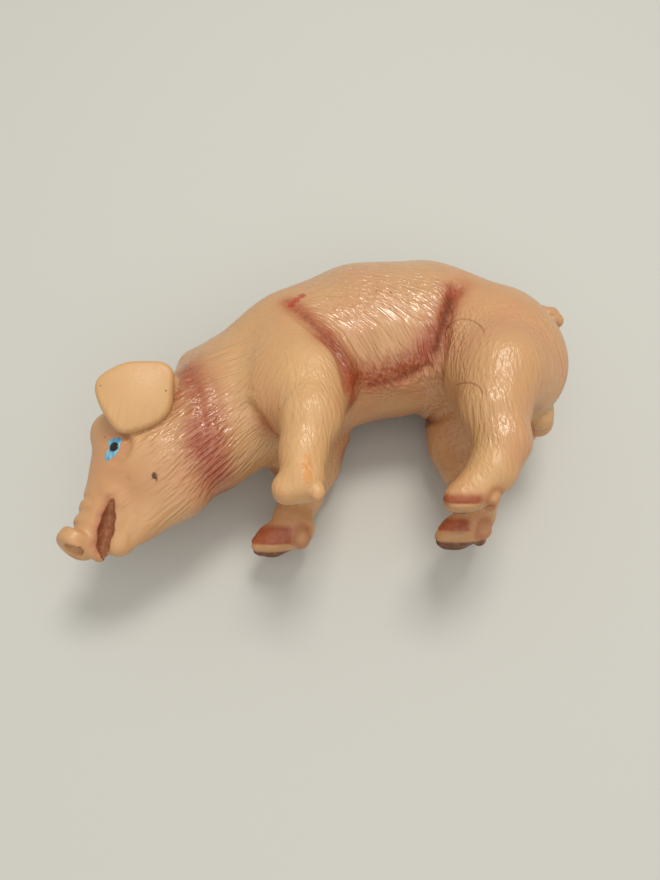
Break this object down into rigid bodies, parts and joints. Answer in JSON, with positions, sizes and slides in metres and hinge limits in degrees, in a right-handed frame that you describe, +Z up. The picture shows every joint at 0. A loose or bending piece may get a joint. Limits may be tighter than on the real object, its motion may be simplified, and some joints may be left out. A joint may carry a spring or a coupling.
{
  "type": "piglet figurine",
  "caption": "Small moulded PVC piglet figurine with its nose down, lying on its right side, with painted blue eyes and brown-shaded hooves.",
  "frame": {"origin": "bottom centre of the box of the figurine as it lies on its right side", "axes": "+Z up, towards the animal's left side; +X along the body towards the rump, so the snout points to -X; +Y towards the animal's back, so the feet point to -Y"},
  "size_m": [0.0624, 0.0426, 0.0225],
  "materials": {
    "vinyl": "moulded PVC with hair strokes, airbrushed red-brown in the creases",
    "pale_vinyl": "smooth moulded PVC, satin",
    "blue_enamel": "brushed enamel paint, glossy",
    "black_enamel": "enamel paint dot, glossy"
  },
  "bodies": {
    "root": {"torso": "vinyl", "head": "vinyl", "tail": "vinyl", "front_left_leg": "vinyl", "front_right_leg": "vinyl", "rear_left_leg": "vinyl", "rear_right_leg": "vinyl", "left_ear": "pale_vinyl", "right_ear": "pale_vinyl", "left_iris": "blue_enamel", "right_iris": "blue_enamel", "left_pupil": "black_enamel", "right_pupil": "black_enamel"}
  },
  "joints": []
}
